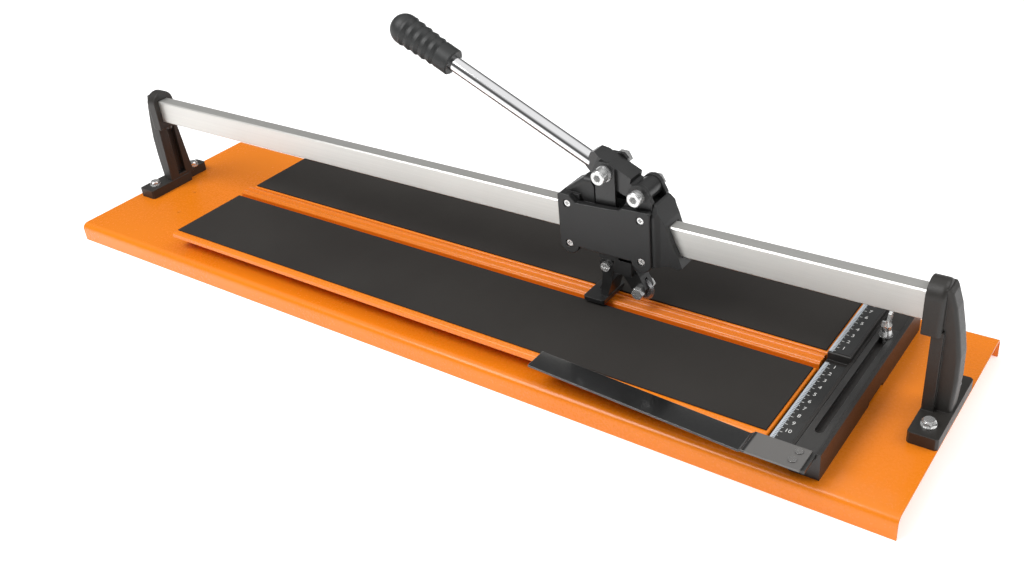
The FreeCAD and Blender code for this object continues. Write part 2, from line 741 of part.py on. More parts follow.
def breaker_foot():
    left = carriage_x + presser_left
    right = carriage_x + presser_right
    top = presser_low + presser_thickness
    sole = box(left, -presser_half, presser_low, right, presser_half, top)
    sole = round_edges(sole, 2.5, lambda c, e: is_upright(e))
    stem = plate_xz([(right - 8, top - 1), (right - 1, top - 1), (foot_pivot_x + 5, foot_pivot_z - 14),
                     (foot_pivot_x + 4, foot_pivot_z - 9.5), (foot_pivot_x - 5, foot_pivot_z - 10)],
                    -ear_outer, ear_outer)
    ear = plate_xz([(foot_pivot_x - 5, foot_pivot_z - 11), (foot_pivot_x + 4.2, foot_pivot_z - 11),
                    (foot_pivot_x + ear_radius - 0.5, foot_pivot_z),
                    (foot_pivot_x - ear_radius + 0.5, foot_pivot_z)],
                   ear_inner, ear_outer)
    ear = join(ear, along_y(ear_radius, foot_pivot_x, ear_inner, ear_outer, foot_pivot_z))
    rib = plate_xz([(left + 6, top - 1), (right - 5, top - 1), (foot_pivot_x - 3, foot_pivot_z - 12)],
                   -2.0, 2.0)
    whole = join(sole, stem, rib, *both_sides(ear))
    return whole.cut(along_y(big_bolt_radius - 1 + axle_fit, foot_pivot_x, -20, 20, foot_pivot_z))


def foot_screw():
    face = ear_outer + clear
    shank = along_y(big_bolt_radius - 1, foot_pivot_x, -face - 1, face + 4.5, foot_pivot_z)
    head = along_y(4.4, foot_pivot_x, -face - 3.4, -face, foot_pivot_z)
    slot = box(foot_pivot_x - 6, -face - 5, foot_pivot_z - 0.6,
               foot_pivot_x + 6, -face - 2.2, foot_pivot_z + 0.6)
    return join(shank, head).cut(slot)


def foot_nut():
    face = ear_outer + clear
    nut = hexagon(8.0, (foot_pivot_x, face, foot_pivot_z), (0, 1, 0), 4)
    return nut.cut(along_y(big_bolt_radius - 1, foot_pivot_x, face - 1, face + 5, foot_pivot_z))


def cutting_wheel():
    rim = 0.3
    half = wheel_half
    profile = [V(0, -half, 0), V(wheel_radius - 2.5, -half, 0), V(wheel_radius, -rim / 2, 0),
               V(wheel_radius, rim / 2, 0), V(wheel_radius - 2.5, half, 0), V(0, half, 0)]
    disc = Part.Face(Part.makePolygon(profile + profile[:1])).revolve(V(0, 0, 0), V(0, 1, 0), 360)
    disc.translate(V(wheel_x, 0, wheel_z))
    return disc.cut(along_y(wheel_pin + axle_fit, wheel_x, -10, 10, wheel_z))


def wheel_bolt():
    face = holder_outer
    shank = along_y(wheel_pin, wheel_x, -face - 1, face + 6.5, wheel_z)
    head = hexagon(10.0, (wheel_x, -face, wheel_z), (0, -1, 0), 4.4)
    ridge = along_y(5.0, wheel_x, -face - 5.0, -face - 4.4, wheel_z)
    return join(shank, head, ridge)


def wheel_nut():
    nut = hexagon(10.0, (wheel_x, holder_outer, wheel_z), (0, 1, 0), 5)
    return nut.cut(along_y(wheel_pin, wheel_x, 0, holder_outer + 6, wheel_z))


# ---- side fence and sliding stop ----
def fence_body():
    low = base_height
    bar = box(fence_step, fence_front, low, fence_right, fence_rear, fence_top)
    wall = box(fence_right - wall_thickness, fence_front, low, fence_right, fence_rear, wall_top)
    ledge = box(fence_left, scale_front, low, fence_step + 1, block_front, ledge_top)
    block = box(fence_left, block_front, low, fence_step + 1, scale_rear, rear_block_top)
    block = round_edges(block, 1.2, lambda c, e: near(c.z, rear_block_top))
    whole = join(bar, wall, ledge, block)
    half = pocket_width / 2
    pocket = box(pocket_x - half, fence_front - 1, pocket_floor, pocket_x + half, fence_rear + 1, wall_top + 1)
    groove = box(pocket_x - groove_width / 2, slot_front, groove_floor, pocket_x + groove_width / 2,
                 screw_y + 8, pocket_floor + 1)
    screw_hole = upright(screw_radius + clear, pocket_x, screw_y, low + 3, fence_top)
    arch = box(fence_right - 2, -16, low - 1, fence_right + 1, 15, low + 3)
    bed_relief = box(fence_step + 2, fence_front + 3, low - 1, pocket_x - 6, fence_rear - 3, groove_floor - 3)
    right_relief = box(pocket_x + 6, fence_front + 3, low - 1, fence_right - wall_thickness, fence_rear - 3,
                       groove_floor - 3)
    holes = [upright(rivet_radius, x, y, low - 1, low + 12) for x, y in fence_rivet_places()]
    return whole.cut([pocket, groove, screw_hole, arch, bed_relief, right_relief] + holes)


def fence_rivet(x, y):
    low = base_height - base_sheet
    shank = upright(rivet_radius - rivet_fit, x, y, low, base_height + 11)
    head = upright(rivet_head_radius, x, y, low - rivet_head, low)
    return join(shank, head)


def scale_strip(y0, y1, top):
    return box(fence_left + 0.4, y0, top, fence_step - 0.4, y1, top + scale_thickness)


def stop_slider():
    half = slider_width / 2
    bar = box(pocket_x - half, plate_front + 3, slider_low, pocket_x + half, slider_rear, slider_high)
    slot_half = slider_slot / 2
    slot = box(pocket_x - slot_half, slot_front + slot_half, slider_low - 1, pocket_x + slot_half, screw_y + 1,
               slider_high + 1)
    ends = [upright(slot_half, pocket_x, y, slider_low - 1, slider_high + 1)
            for y in (slot_front + slot_half, screw_y + 1)]
    packer = box(pocket_x - half, plate_front + 3, slider_high - 0.5, plate_right - 1,
                 plate_front + plate_depth, plate_low)
    holes = [upright(rivet_radius - 0.4, x, y, slider_low - 1, plate_low + 1) for x, y in arm_rivets]
    return join(bar, packer).cut([slot] + ends + holes)


def stop_arm():
    back = plate_front + plate_depth
    plate = box(plate_left, plate_front, plate_low, plate_right, back, plate_low + arm_sheet)
    joggle = plate_xz([(plate_left + 0.01, plate_low), (plate_left + 0.01, plate_low + arm_sheet),
                       (plate_left - 3, arm_low + arm_sheet), (plate_left - 3, arm_low)],
                      back - arm_width - 1, back - 1)
    turn = math.tan(math.radians(arm_splay))
    start = plate_left - 2.99
    end = start - arm_reach
    shift = arm_reach * turn
    arm = plate_xy([(start, back - 1), (start, back - 1 - arm_width), (end, back - 1 - arm_width + shift),
                    (end, back - 1 + shift)], arm_low, arm_low + arm_sheet)
    holes = [upright(rivet_radius - 0.4, x, y, plate_low - 1, plate_low + 5) for x, y in arm_rivets]
    return join(plate, joggle, arm).cut(holes)


def arm_rivet(x, y):
    radius = rivet_radius - 0.4
    low = slider_low
    high = plate_low + arm_sheet
    return join(upright(radius, x, y, low, high), upright(radius + 1.1, x, y, high, high + 0.9))


def wing_washer():
    low = slider_high + clear
    return upright(washer_radius, pocket_x, screw_y, low, low + 1.0).cut(
        upright(screw_radius + clear, pocket_x, screw_y, low - 1, low + 2))


def wing_screw():
    low = slider_high + clear + 1.0 + clear
    shank = upright(screw_radius, pocket_x, screw_y, base_height + 4, low + 1)
    collar = Part.makeCone(washer_radius, 4.2, 5.0, V(pocket_x, screw_y, low))
    hub = upright(4.2, pocket_x, screw_y, low + 4.9, low + 9)
    wing = slab([V(pocket_x - 1.3, screw_y, low + 3), V(pocket_x - 1.3, screw_y + 6, low + 5),
                 V(pocket_x - 1.3, screw_y + 11.5, low + 14), V(pocket_x - 1.3, screw_y + 9.5, low + 18),
                 V(pocket_x - 1.3, screw_y + 5.5, low + 16), V(pocket_x - 1.3, screw_y, low + 8)], (2.6, 0, 0))
    other = wing.copy()
    other.rotate(V(pocket_x, screw_y, 0), V(0, 0, 1), 180)
    return join(shank, collar, hub, wing, other)


# ---- write every node ----
def main():
    os.makedirs("parts", exist_ok=True)
    save("base_plate", base_plate())
    save("under_channel", under_channel())
    save("breaking_ridge", breaking_ridge())
    save("ridge_rivets", *[rivet(x, y, base_height - base_sheet, base_height + ridge_sheet)
                           for x, y in ridge_rivet_places()])
    save("rear_bed", bed_half())
    save("front_bed", mirrored_y(bed_half()))
    save("rear_pad", bed_pad())
    save("front_pad", mirrored_y(bed_pad()))
    for name, side in (("rear_bed_springs", 1), ("front_bed_springs", -1)):
        save(name, *[bed_spring(x, side * spring_offset) for x in spring_stations])
    save("right_post", post())
    save("left_post", left_end(post()))
    save("rail_screws", rail_screw(), left_end(rail_screw()))
    save("post_bolts", *[post_bolt(x, y) for x, y in bolt_places()])
    save("post_nuts", *[post_nut(x, y) for x, y in bolt_places()])
    save("guide_rail", guide_rail())
    save("carriage_body", carriage_body())
    save("rear_cover", cover())
    save("front_cover", mirrored_y(cover()))
    save("cover_screws", *[screw for x, z in roller_places for screw in both_sides(cover_screw(x, z))])
    save("roller_axles", *[roller_axle(x, z) for x, z in roller_places])
    names = ("upper_left_roller", "lower_left_roller", "upper_right_roller", "lower_right_roller")
    for name, (x, z) in zip(names, roller_places):
        save(name, roller(x, z))
    save("carriage_shroud", shroud())
    save("pivot_bolt", big_bolt(pivot_x, pivot_z, -body_half, body_half))
    save("pivot_nut", big_nut(pivot_x, pivot_z, body_half))
    save("lever_block", lever_block())
    save("lever_rod", lever_rod())
    save("lever_grip", grip())
    save("link_bolt", big_bolt(link_x, link_z, -link_face(), link_face()))
    save("link_nut", big_nut(link_x, link_z, link_face()))
    save("link_spacers", *link_spacers())
    save("tool_carrier", tool_carrier())
    save("breaker_foot", breaker_foot())
    save("foot_screw", foot_screw())
    save("foot_nut", foot_nut())
    save("cutting_wheel", cutting_wheel())
    save("wheel_bolt", wheel_bolt())
    save("wheel_nut", wheel_nut())
    save("fence_body", fence_body())
    save("fence_rivets", *[fence_rivet(x, y) for x, y in fence_rivet_places()])
    save("front_scale", scale_strip(scale_front, block_front - 4.5, ledge_top))
    save("rear_scale", scale_strip(block_front + 1.6, scale_rear - 1.6, rear_block_top))
    save("stop_slider", stop_slider())
    save("stop_arm", stop_arm())
    save("arm_rivets", *[arm_rivet(x, y) for x, y in arm_rivets])
    save("wing_washer", wing_washer())
    save("wing_screw", wing_screw())


main()
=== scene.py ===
import bpy
import bmesh
import math
from mathutils import Matrix, Vector


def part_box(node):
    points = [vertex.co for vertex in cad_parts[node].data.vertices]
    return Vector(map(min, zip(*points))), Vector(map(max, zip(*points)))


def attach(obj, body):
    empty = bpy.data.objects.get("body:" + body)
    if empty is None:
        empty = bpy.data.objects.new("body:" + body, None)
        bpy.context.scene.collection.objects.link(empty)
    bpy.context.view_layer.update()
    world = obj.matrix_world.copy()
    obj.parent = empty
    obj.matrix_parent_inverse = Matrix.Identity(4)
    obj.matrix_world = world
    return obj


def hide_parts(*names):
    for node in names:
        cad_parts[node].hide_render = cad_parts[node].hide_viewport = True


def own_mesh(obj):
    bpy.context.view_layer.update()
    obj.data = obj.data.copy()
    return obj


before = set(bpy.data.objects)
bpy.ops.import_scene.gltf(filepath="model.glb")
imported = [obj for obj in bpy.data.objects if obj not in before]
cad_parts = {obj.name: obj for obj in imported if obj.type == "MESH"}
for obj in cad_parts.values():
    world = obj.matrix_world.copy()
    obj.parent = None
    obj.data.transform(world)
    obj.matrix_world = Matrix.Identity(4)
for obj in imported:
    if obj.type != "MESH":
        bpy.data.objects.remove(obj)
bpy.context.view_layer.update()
mm = 0.001
print("tile cutter frame loaded")

# Camera. The place is in metres and the three rows turn it towards the bed.
cameraLook = {"place": (0.6181, -0.6989, 0.5777), "lens": 38.206, "sensor": 36.0,
              "turn": ((0.8084, -0.2443, 0.5355), (0.5815, 0.4729, -0.6620), (-0.0915, 0.8466, 0.5243))}
cameraData = bpy.data.cameras.new("benchCamera")
cameraData.lens = cameraLook["lens"]
cameraData.sensor_width = cameraLook["sensor"]
benchCamera = bpy.data.objects.new("benchCamera", cameraData)
bpy.context.scene.collection.objects.link(benchCamera)
cameraRows = [list(row) + [place] for row, place in zip(cameraLook["turn"], cameraLook["place"])]
benchCamera.matrix_world = Matrix(cameraRows + [[0, 0, 0, 1]])
bpy.context.scene.camera = benchCamera
bpy.context.scene.view_settings.view_transform = "Standard"
print("camera placed")


# Small helpers for node trees
def addNode(tree, kind, place=(0, 0), label="", **settings):
    node = tree.nodes.new(kind)
    node.location = place
    node.label = label
    for name, value in settings.items():
        setattr(node, name, value)
    return node


def join(tree, source, target):
    tree.links.new(source, target)


def mathNode(tree, operation, place, first, second=None, label=""):
    node = addNode(tree, "ShaderNodeMath", place, label, operation=operation)
    for socket, value in zip(node.inputs, (first, second)):
        if value is None:
            continue
        if isinstance(value, (int, float)):
            socket.default_value = value
        else:
            join(tree, value, socket)
    return node.outputs[0]


def startGroup(name, inputs, outputs):
    tree = bpy.data.node_groups.new(name, "ShaderNodeTree")
    for label, kind, value in inputs:
        socket = tree.interface.new_socket(name=label, in_out="INPUT", socket_type=kind)
        socket.default_value = value
    for label, kind in outputs:
        tree.interface.new_socket(name=label, in_out="OUTPUT", socket_type=kind)
    return tree, addNode(tree, "NodeGroupInput", (-900, 0)), addNode(tree, "NodeGroupOutput", (900, 0))


def makeGrain():
    # fine grain in the colour, the roughness and the height of a surface
    tree, given, result = startGroup(
        "surfaceGrain",
        [("Vector", "NodeSocketVector", (0, 0, 0)), ("Grain Size", "NodeSocketFloat", 900.0),
         ("Patch Size", "NodeSocketFloat", 18.0), ("Colour", "NodeSocketColor", (0.5, 0.5, 0.5, 1)),
         ("Patch Colour", "NodeSocketColor", (0.4, 0.4, 0.4, 1)), ("Patch Amount", "NodeSocketFloat", 0.3),
         ("Smoothest", "NodeSocketFloat", 0.3), ("Roughest", "NodeSocketFloat", 0.5)],
        [("Colour", "NodeSocketColor"), ("Roughness", "NodeSocketFloat"), ("Height", "NodeSocketFloat")])
    fine = addNode(tree, "ShaderNodeTexNoise", (-600, 200), "fine grain")
    fine.inputs["Detail"].default_value = 3.0
    fine.inputs["Roughness"].default_value = 0.6
    patch = addNode(tree, "ShaderNodeTexNoise", (-600, -150), "broad patches")
    patch.inputs["Detail"].default_value = 4.0
    for node, size in ((fine, "Grain Size"), (patch, "Patch Size")):
        join(tree, given.outputs["Vector"], node.inputs["Vector"])
        join(tree, given.outputs[size], node.inputs["Scale"])
    spread = addNode(tree, "ShaderNodeMapRange", (-350, -150), "patch contrast")
    spread.inputs["From Min"].default_value = 0.35
    spread.inputs["From Max"].default_value = 0.70
    join(tree, patch.outputs["Fac"], spread.inputs["Value"])
    share = mathNode(tree, "MULTIPLY", (-100, -150), spread.outputs["Result"], given.outputs["Patch Amount"])
    speck = mathNode(tree, "MULTIPLY", (-100, 150), fine.outputs["Fac"], 0.35)
    amount = mathNode(tree, "ADD", (100, -50), share, mathNode(tree, "MULTIPLY", (0, 60), speck,
                                                            given.outputs["Patch Amount"]))
    blend = addNode(tree, "ShaderNodeMix", (350, 100), "patches over the colour", data_type="RGBA",
                    clamp_factor=True)
    join(tree, amount, blend.inputs["Factor"])
    join(tree, given.outputs["Colour"], blend.inputs["A"])
    join(tree, given.outputs["Patch Colour"], blend.inputs["B"])
    rough = addNode(tree, "ShaderNodeMapRange", (350, -200), "roughness between two limits")
    mixed = mathNode(tree, "ADD", (150, -300),
                     mathNode(tree, "MULTIPLY", (0, -300), fine.outputs["Fac"], 0.5),
                     mathNode(tree, "MULTIPLY", (0, -400), patch.outputs["Fac"], 0.5))
    rough.inputs["From Min"].default_value = 0.3
    rough.inputs["From Max"].default_value = 0.7
    join(tree, mixed, rough.inputs["Value"])
    join(tree, given.outputs["Smoothest"], rough.inputs["To Min"])
    join(tree, given.outputs["Roughest"], rough.inputs["To Max"])
    join(tree, blend.outputs["Result"], result.inputs["Colour"])
    join(tree, rough.outputs["Result"], result.inputs["Roughness"])
    join(tree, fine.outputs["Fac"], result.inputs["Height"])
    return tree


def makeEdgeWear():
    # mask that rises on sharp edges, broken up by noise
    tree, given, result = startGroup(
        "edgeWear",
        [("Vector", "NodeSocketVector", (0, 0, 0)), ("Width", "NodeSocketFloat", 0.0006),
         ("Amount", "NodeSocketFloat", 0.5), ("Break Up", "NodeSocketFloat", 160.0)],
        [("Mask", "NodeSocketFloat"), ("Soft Normal", "NodeSocketVector")])
    soft = addNode(tree, "ShaderNodeBevel", (-600, 200), "rounded edge", samples=4)
    join(tree, given.outputs["Width"], soft.inputs["Radius"])
    flat = addNode(tree, "ShaderNodeNewGeometry", (-600, -50))
    dot = addNode(tree, "ShaderNodeVectorMath", (-350, 100), "how far the edge turns",
                  operation="DOT_PRODUCT")
    join(tree, soft.outputs["Normal"], dot.inputs[0])
    join(tree, flat.outputs["Normal"], dot.inputs[1])
    turned = mathNode(tree, "SUBTRACT", (-150, 100), 1.0, dot.outputs["Value"])
    noise = addNode(tree, "ShaderNodeTexNoise", (-350, -200), "uneven rubbing")
    join(tree, given.outputs["Vector"], noise.inputs["Vector"])
    join(tree, given.outputs["Break Up"], noise.inputs["Scale"])
    uneven = mathNode(tree, "MULTIPLY", (-50, -200), noise.outputs["Fac"], 6.0)
    strong = mathNode(tree, "MULTIPLY", (50, 100), turned, uneven)
    limited = addNode(tree, "ShaderNodeClamp", (250, 100))
    join(tree, mathNode(tree, "MULTIPLY", (150, 0), strong, given.outputs["Amount"]), limited.inputs["Value"])
    join(tree, limited.outputs["Result"], result.inputs["Mask"])
    join(tree, soft.outputs["Normal"], result.inputs["Soft Normal"])
    return tree


def makeBrushing():
    # streaks that run along one direction, for drawn and brushed metal
    tree, given, result = startGroup(
        "brushedStreaks",
        [("Vector", "NodeSocketVector", (0, 0, 0)), ("Stretch", "NodeSocketVector", (4, 900, 900)),
         ("Dark", "NodeSocketColor", (0.5, 0.5, 0.5, 1)), ("Light", "NodeSocketColor", (0.8, 0.8, 0.8, 1))],
        [("Colour", "NodeSocketColor")])
    scaled = addNode(tree, "ShaderNodeVectorMath", (-600, 0), "long one way", operation="MULTIPLY")
    join(tree, given.outputs["Vector"], scaled.inputs[0])
    join(tree, given.outputs["Stretch"], scaled.inputs[1])
    noise = addNode(tree, "ShaderNodeTexNoise", (-350, 0), "streaks")
    noise.inputs["Scale"].default_value = 1.0
    noise.inputs["Detail"].default_value = 5.0
    join(tree, scaled.outputs["Vector"], noise.inputs["Vector"])
    blend = addNode(tree, "ShaderNodeMix", (0, 0), "streak colour", data_type="RGBA")
    join(tree, noise.outputs["Fac"], blend.inputs["Factor"])
    join(tree, given.outputs["Dark"], blend.inputs["A"])
    join(tree, given.outputs["Light"], blend.inputs["B"])
    join(tree, blend.outputs["Result"], result.inputs["Colour"])
    return tree


surfaceGrain = makeGrain()
edgeWear = makeEdgeWear()
brushedStreaks = makeBrushing()
print("shared surface effects made")


def placeGroup(tree, group, place, **values):
    node = addNode(tree, "ShaderNodeGroup", place)
    node.node_tree = group
    node.label = group.name
    for name, value in values.items():
        node.inputs[name].default_value = value
    return node


def solidColour(colour):
    return (*colour, 1.0)


def startFinish(name, look):
    material = bpy.data.materials.new(name)
    material.use_nodes = True
    tree = material.node_tree
    shader = tree.nodes["Principled BSDF"]
    shader.location = (700, 0)
    tree.nodes["Material Output"].location = (1000, 0)
    shader.inputs["Metallic"].default_value = look.get("metal", 0.0)
    shader.inputs["Coat Weight"].default_value = look.get("coat", 0.0)
    shader.inputs["Coat Roughness"].default_value = look.get("coatRough", 0.08)
    shader.inputs["Specular IOR Level"].default_value = look.get("shine", 0.5)
    where = addNode(tree, "ShaderNodeTexCoord", (-1100, 0))
    return material, tree, shader, where.outputs["Object"]


def makeFinish(name, look):
    # grain, then worn edges, then a bump on the softened edges
    material, tree, shader, where = startFinish(name, look)
    grain = placeGroup(tree, surfaceGrain, (-700, 100), **{
        "Grain Size": look.get("grain", 900.0), "Patch Size": look.get("patch", 18.0),
        "Colour": solidColour(look["colour"]), "Patch Colour": solidColour(look["patchColour"]),
        "Patch Amount": look.get("patchAmount", 0.4),
        "Smoothest": look["smoothest"], "Roughest": look["roughest"]})
    join(tree, where, grain.inputs["Vector"])
    colour = grain.outputs["Colour"]
    if "streaks" in look:
        streaks = placeGroup(tree, brushedStreaks, (-700, 450), **{
            "Stretch": look["streaks"],
            "Dark": solidColour(look["patchColour"]), "Light": solidColour(look["colour"])})
        join(tree, where, streaks.inputs["Vector"])
        mix = addNode(tree, "ShaderNodeMix", (-350, 300), "streaks over patches", data_type="RGBA")
        mix.inputs["Factor"].default_value = look["streakShare"]
        join(tree, colour, mix.inputs["A"])
        join(tree, streaks.outputs["Colour"], mix.inputs["B"])
        colour = mix.outputs["Result"]
    wear = placeGroup(tree, edgeWear, (-700, -350), **{
        "Width": look.get("edge", 0.5) * mm, "Amount": look.get("wear", 0.3),
        "Break Up": look.get("breakUp", 160.0)})
    join(tree, where, wear.inputs["Vector"])
    worn = addNode(tree, "ShaderNodeMix", (0, 200), "rubbed edges", data_type="RGBA")
    worn.inputs["B"].default_value = solidColour(look.get("wornColour", look["colour"]))
    join(tree, wear.outputs["Mask"], worn.inputs["Factor"])
    join(tree, colour, worn.inputs["A"])
    bump = addNode(tree, "ShaderNodeBump", (350, -250), "grain height")
    bump.inputs["Strength"].default_value = look.get("bump", 0.1)
    bump.inputs["Distance"].default_value = look.get("depth", 0.1) * mm
    join(tree, grain.outputs["Height"], bump.inputs["Height"])
    join(tree, wear.outputs["Soft Normal"], bump.inputs["Normal"])
    join(tree, worn.outputs["Result"], shader.inputs["Base Color"])
    join(tree, grain.outputs["Roughness"], shader.inputs["Roughness"])
    join(tree, bump.outputs["Normal"], shader.inputs["Normal"])
    return material


def dress(material, *nodes):
    for name in nodes:
        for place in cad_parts[name].material_slots:
            place.material = material


def addPiece(name, mesh, material):
    # a new piece that stays with the base
    data = bpy.data.meshes.new(name)
    mesh.to_mesh(data)
    mesh.free()
    piece = bpy.data.objects.new(name, data)
    bpy.context.scene.collection.objects.link(piece)
    data.materials.append(material)
    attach(piece, "base")
    return piece


# Sheet-metal base and bed
enamelLook = {"colour": (0.86, 0.232, 0.010), "patchColour": (0.80, 0.195, 0.007), "patchAmount": 0.4,
              "smoothest": 0.20, "roughest": 0.32, "grain": 420.0, "patch": 7.0, "bump": 0.08, "depth": 0.08,
              "coat": 0.15, "shine": 0.35, "edge": 0.7, "wear": 0.25, "wornColour": (1.0, 0.38, 0.09)}
ridgeLook = dict(enamelLook, colour=(0.80, 0.205, 0.010), patchColour=(0.72, 0.165, 0.008), edge=0.5,
                 wear=0.35)
orangeEnamel = makeFinish("orangeEnamel", enamelLook)
dress(orangeEnamel, "rear_bed", "front_bed")
dress(makeFinish("ridgeEnamel", ridgeLook), "breaking_ridge")

# The base plate has two pressed dimples beside the bed; x, y and radius in millimetres, on its top face
plateLook = dict(enamelLook, dimples=((-412.9, -6.7, 3.2), (-388.7, -50.6, 3.2)), dimpleDepth=0.9,
                 topFace=20.0)


def makePlateFinish(look):
    material = makeFinish("plateEnamel", look)
    tree = material.node_tree
    shader = tree.nodes["Principled BSDF"]
    bump = [node for node in tree.nodes if node.type == "BUMP"][0]
    where = [node for node in tree.nodes if node.type == "TEX_COORD"][0].outputs["Object"]
    total = None
    for i, (x, y, radius) in enumerate(look["dimples"]):
        away = addNode(tree, "ShaderNodeVectorMath", (-700, -700 - 200 * i), "to the dimple",
                       operation="DISTANCE")
        away.inputs[1].default_value = (x * mm, y * mm, look["topFace"] * mm)
        join(tree, where, away.inputs[0])
        hollow = addNode(tree, "ShaderNodeMapRange", (-450, -700 - 200 * i), "dimple",
                         interpolation_type="SMOOTHSTEP")
        hollow.inputs["From Min"].default_value = 0.0
        hollow.inputs["From Max"].default_value = radius * mm
        join(tree, away.outputs["Value"], hollow.inputs["Value"])
        if total is None:
            total = hollow.outputs["Result"]
        else:
            total = mathNode(tree, "MULTIPLY", (-200, -700), total, hollow.outputs["Result"])
    press = addNode(tree, "ShaderNodeBump", (520, -400), "pressed dimples")
    press.inputs["Strength"].default_value = 1.0
    press.inputs["Distance"].default_value = look["dimpleDepth"] * mm
    join(tree, total, press.inputs["Height"])
    join(tree, bump.outputs["Normal"], press.inputs["Normal"])
    join(tree, press.outputs["Normal"], shader.inputs["Normal"])
    return material


dress(makePlateFinish(plateLook), "base_plate")

zincLook = {"colour": (0.60, 0.60, 0.58), "patchColour": (0.42, 0.42, 0.42), "patchAmount": 0.6,
            "smoothest": 0.28, "roughest": 0.48, "grain": 300.0, "patch": 60.0, "metal": 1.0, "bump": 0.1,
            "depth": 0.08, "edge": 0.3}
dress(makeFinish("galvanisedSheet", zincLook), "under_channel", "ridge_rivets", "fence_rivets")

# Bed springs: round wire coils that fill each spring part's box; wire in millimetres
springLook = dict(zincLook, colour=(0.42, 0.42, 0.43), patchColour=(0.30, 0.30, 0.31), smoothest=0.2,
                  roughest=0.35, wire=1.4, turns=4, coils=3, stepsPerTurn=24, sides=10, squashed=0.76)


def addCoil(mesh, centre, radius, low, high):
    # one closed tube round a helix
    half = springLook["wire"] * mm / 2
    steps = springLook["turns"] * springLook["stepsPerTurn"]
    rings = []
    for i in range(steps + 1):
        turn = 2 * math.pi * i / springLook["stepsPerTurn"]
        z = low + half + (high - low - 2 * half) * i / steps
        out = Vector((math.cos(turn), math.sin(turn), 0))
        spine = Vector((centre[0], centre[1], z)) + out * radius
        ring = []
        for j in range(springLook["sides"]):
            angle = 2 * math.pi * j / springLook["sides"]
            across = out * math.cos(angle) + Vector((0, 0, math.sin(angle)))
            ring.append(mesh.verts.new(spine + half * across))
        rings.append(ring)
    for first, second in zip(rings, rings[1:]):
        for j in range(len(first)):
            k = (j + 1) % len(first)
            face = mesh.faces.new((first[j], first[k], second[k], second[j]))
            face.smooth = True
    mesh.faces.new(rings[0][::-1])
    mesh.faces.new(rings[-1])


def makeCoils(name, node, material):
    low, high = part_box(node)
    radius = (high[1] - low[1]) / 2 - springLook["wire"] * mm / 2
    reach = radius + springLook["wire"] * mm / 2
    y = (low[1] + high[1]) / 2
    mesh = bmesh.new()
    for i in range(springLook["coils"]):
        x = low[0] + reach + (high[0] - low[0] - 2 * reach) * i / (springLook["coils"] - 1)
        addCoil(mesh, (x, y), radius, low[2], high[2])
    bmesh.ops.recalc_face_normals(mesh, faces=mesh.faces)
    piece = addPiece(name, mesh, material)
    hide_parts(node)
    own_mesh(piece)


springWire = makeFinish("springWire", springLook)
makeCoils("rearCoils", "rear_bed_springs", springWire)
makeCoils("frontCoils", "front_bed_springs", springWire)

padLook = {"colour": (0.029, 0.026, 0.024), "patchColour": (0.040, 0.037, 0.034), "patchAmount": 0.7,
           "smoothest": 0.72, "roughest": 0.92, "grain": 1500.0, "patch": 9.0, "bump": 0.5, "depth": 0.25,
           "shine": 0.15, "edge": 0.3, "wear": 0.1, "wornColour": (0.07, 0.065, 0.06)}
dress(makeFinish("padRubber", padLook), "rear_pad", "front_pad")
print("base and bed finished")

# Rail and posts
railLook = {"colour": (0.72, 0.71, 0.68), "patchColour": (0.56, 0.555, 0.53), "patchAmount": 0.45,
            "smoothest": 0.30, "roughest": 0.44, "grain": 700.0, "patch": 6.0, "metal": 0.75,
            "streaks": (3, 700, 700), "streakShare": 0.6, "bump": 0.06, "depth": 0.05, "edge": 0.4,
            "wear": 0.3, "wornColour": (0.95, 0.95, 0.94)}
dress(makeFinish("drawnRail", railLook), "guide_rail")

postLook = {"colour": (0.020, 0.018, 0.016), "patchColour": (0.034, 0.031, 0.028), "patchAmount": 0.6,
            "smoothest": 0.34, "roughest": 0.55, "grain": 650.0, "patch": 22.0, "bump": 0.45, "depth": 0.18,
            "edge": 0.9, "wear": 0.25, "wornColour": (0.09, 0.085, 0.08), "shine": 0.45}
dress(makeFinish("postMoulding", postLook), "right_post", "left_post")

boltLook = {"colour": (0.80, 0.80, 0.79), "patchColour": (0.55, 0.55, 0.55), "patchAmount": 0.5,
            "smoothest": 0.12, "roughest": 0.32, "grain": 500.0, "patch": 120.0, "metal": 0.75, "bump": 0.08,
            "depth": 0.05, "edge": 0.4, "wear": 0.4, "wornColour": (0.95, 0.95, 0.95)}
dress(makeFinish("brightZinc", boltLook), "post_bolts", "post_nuts", "pivot_bolt", "pivot_nut", "link_bolt",
      "link_nut", "foot_screw", "foot_nut", "wheel_bolt", "wheel_nut", "wing_washer", "wing_screw",
      "cover_screws")

# Carriage, its rollers and the lever
carriageLook = {"colour": (0.013, 0.013, 0.013), "patchColour": (0.022, 0.022, 0.022), "patchAmount": 0.5,
                "smoothest": 0.36, "roughest": 0.52, "grain": 900.0, "patch": 30.0, "bump": 0.35,
                "depth": 0.12, "edge": 0.8, "wear": 0.25, "wornColour": (0.08, 0.08, 0.08)}
dress(makeFinish("carriageMoulding", carriageLook), "carriage_body", "rear_cover", "front_cover",
      "carriage_shroud")

rollerLook = dict(boltLook, colour=(0.55, 0.55, 0.55), patchColour=(0.4, 0.4, 0.4), smoothest=0.2,
                  roughest=0.35)
dress(makeFinish("rollerSteel", rollerLook), "roller_axles", "upper_left_roller", "lower_left_roller",
      "upper_right_roller", "lower_right_roller", "link_spacers")

blockLook = {"colour": (0.014, 0.014, 0.014), "patchColour": (0.026, 0.026, 0.026), "patchAmount": 0.5,
             "smoothest": 0.26, "roughest": 0.42, "grain": 700.0, "patch": 40.0, "bump": 0.2, "depth": 0.08,
             "edge": 0.6, "wear": 0.45, "wornColour": (0.16, 0.16, 0.16), "coat": 0.2}
dress(makeFinish("blockPaint", blockLook), "lever_block")

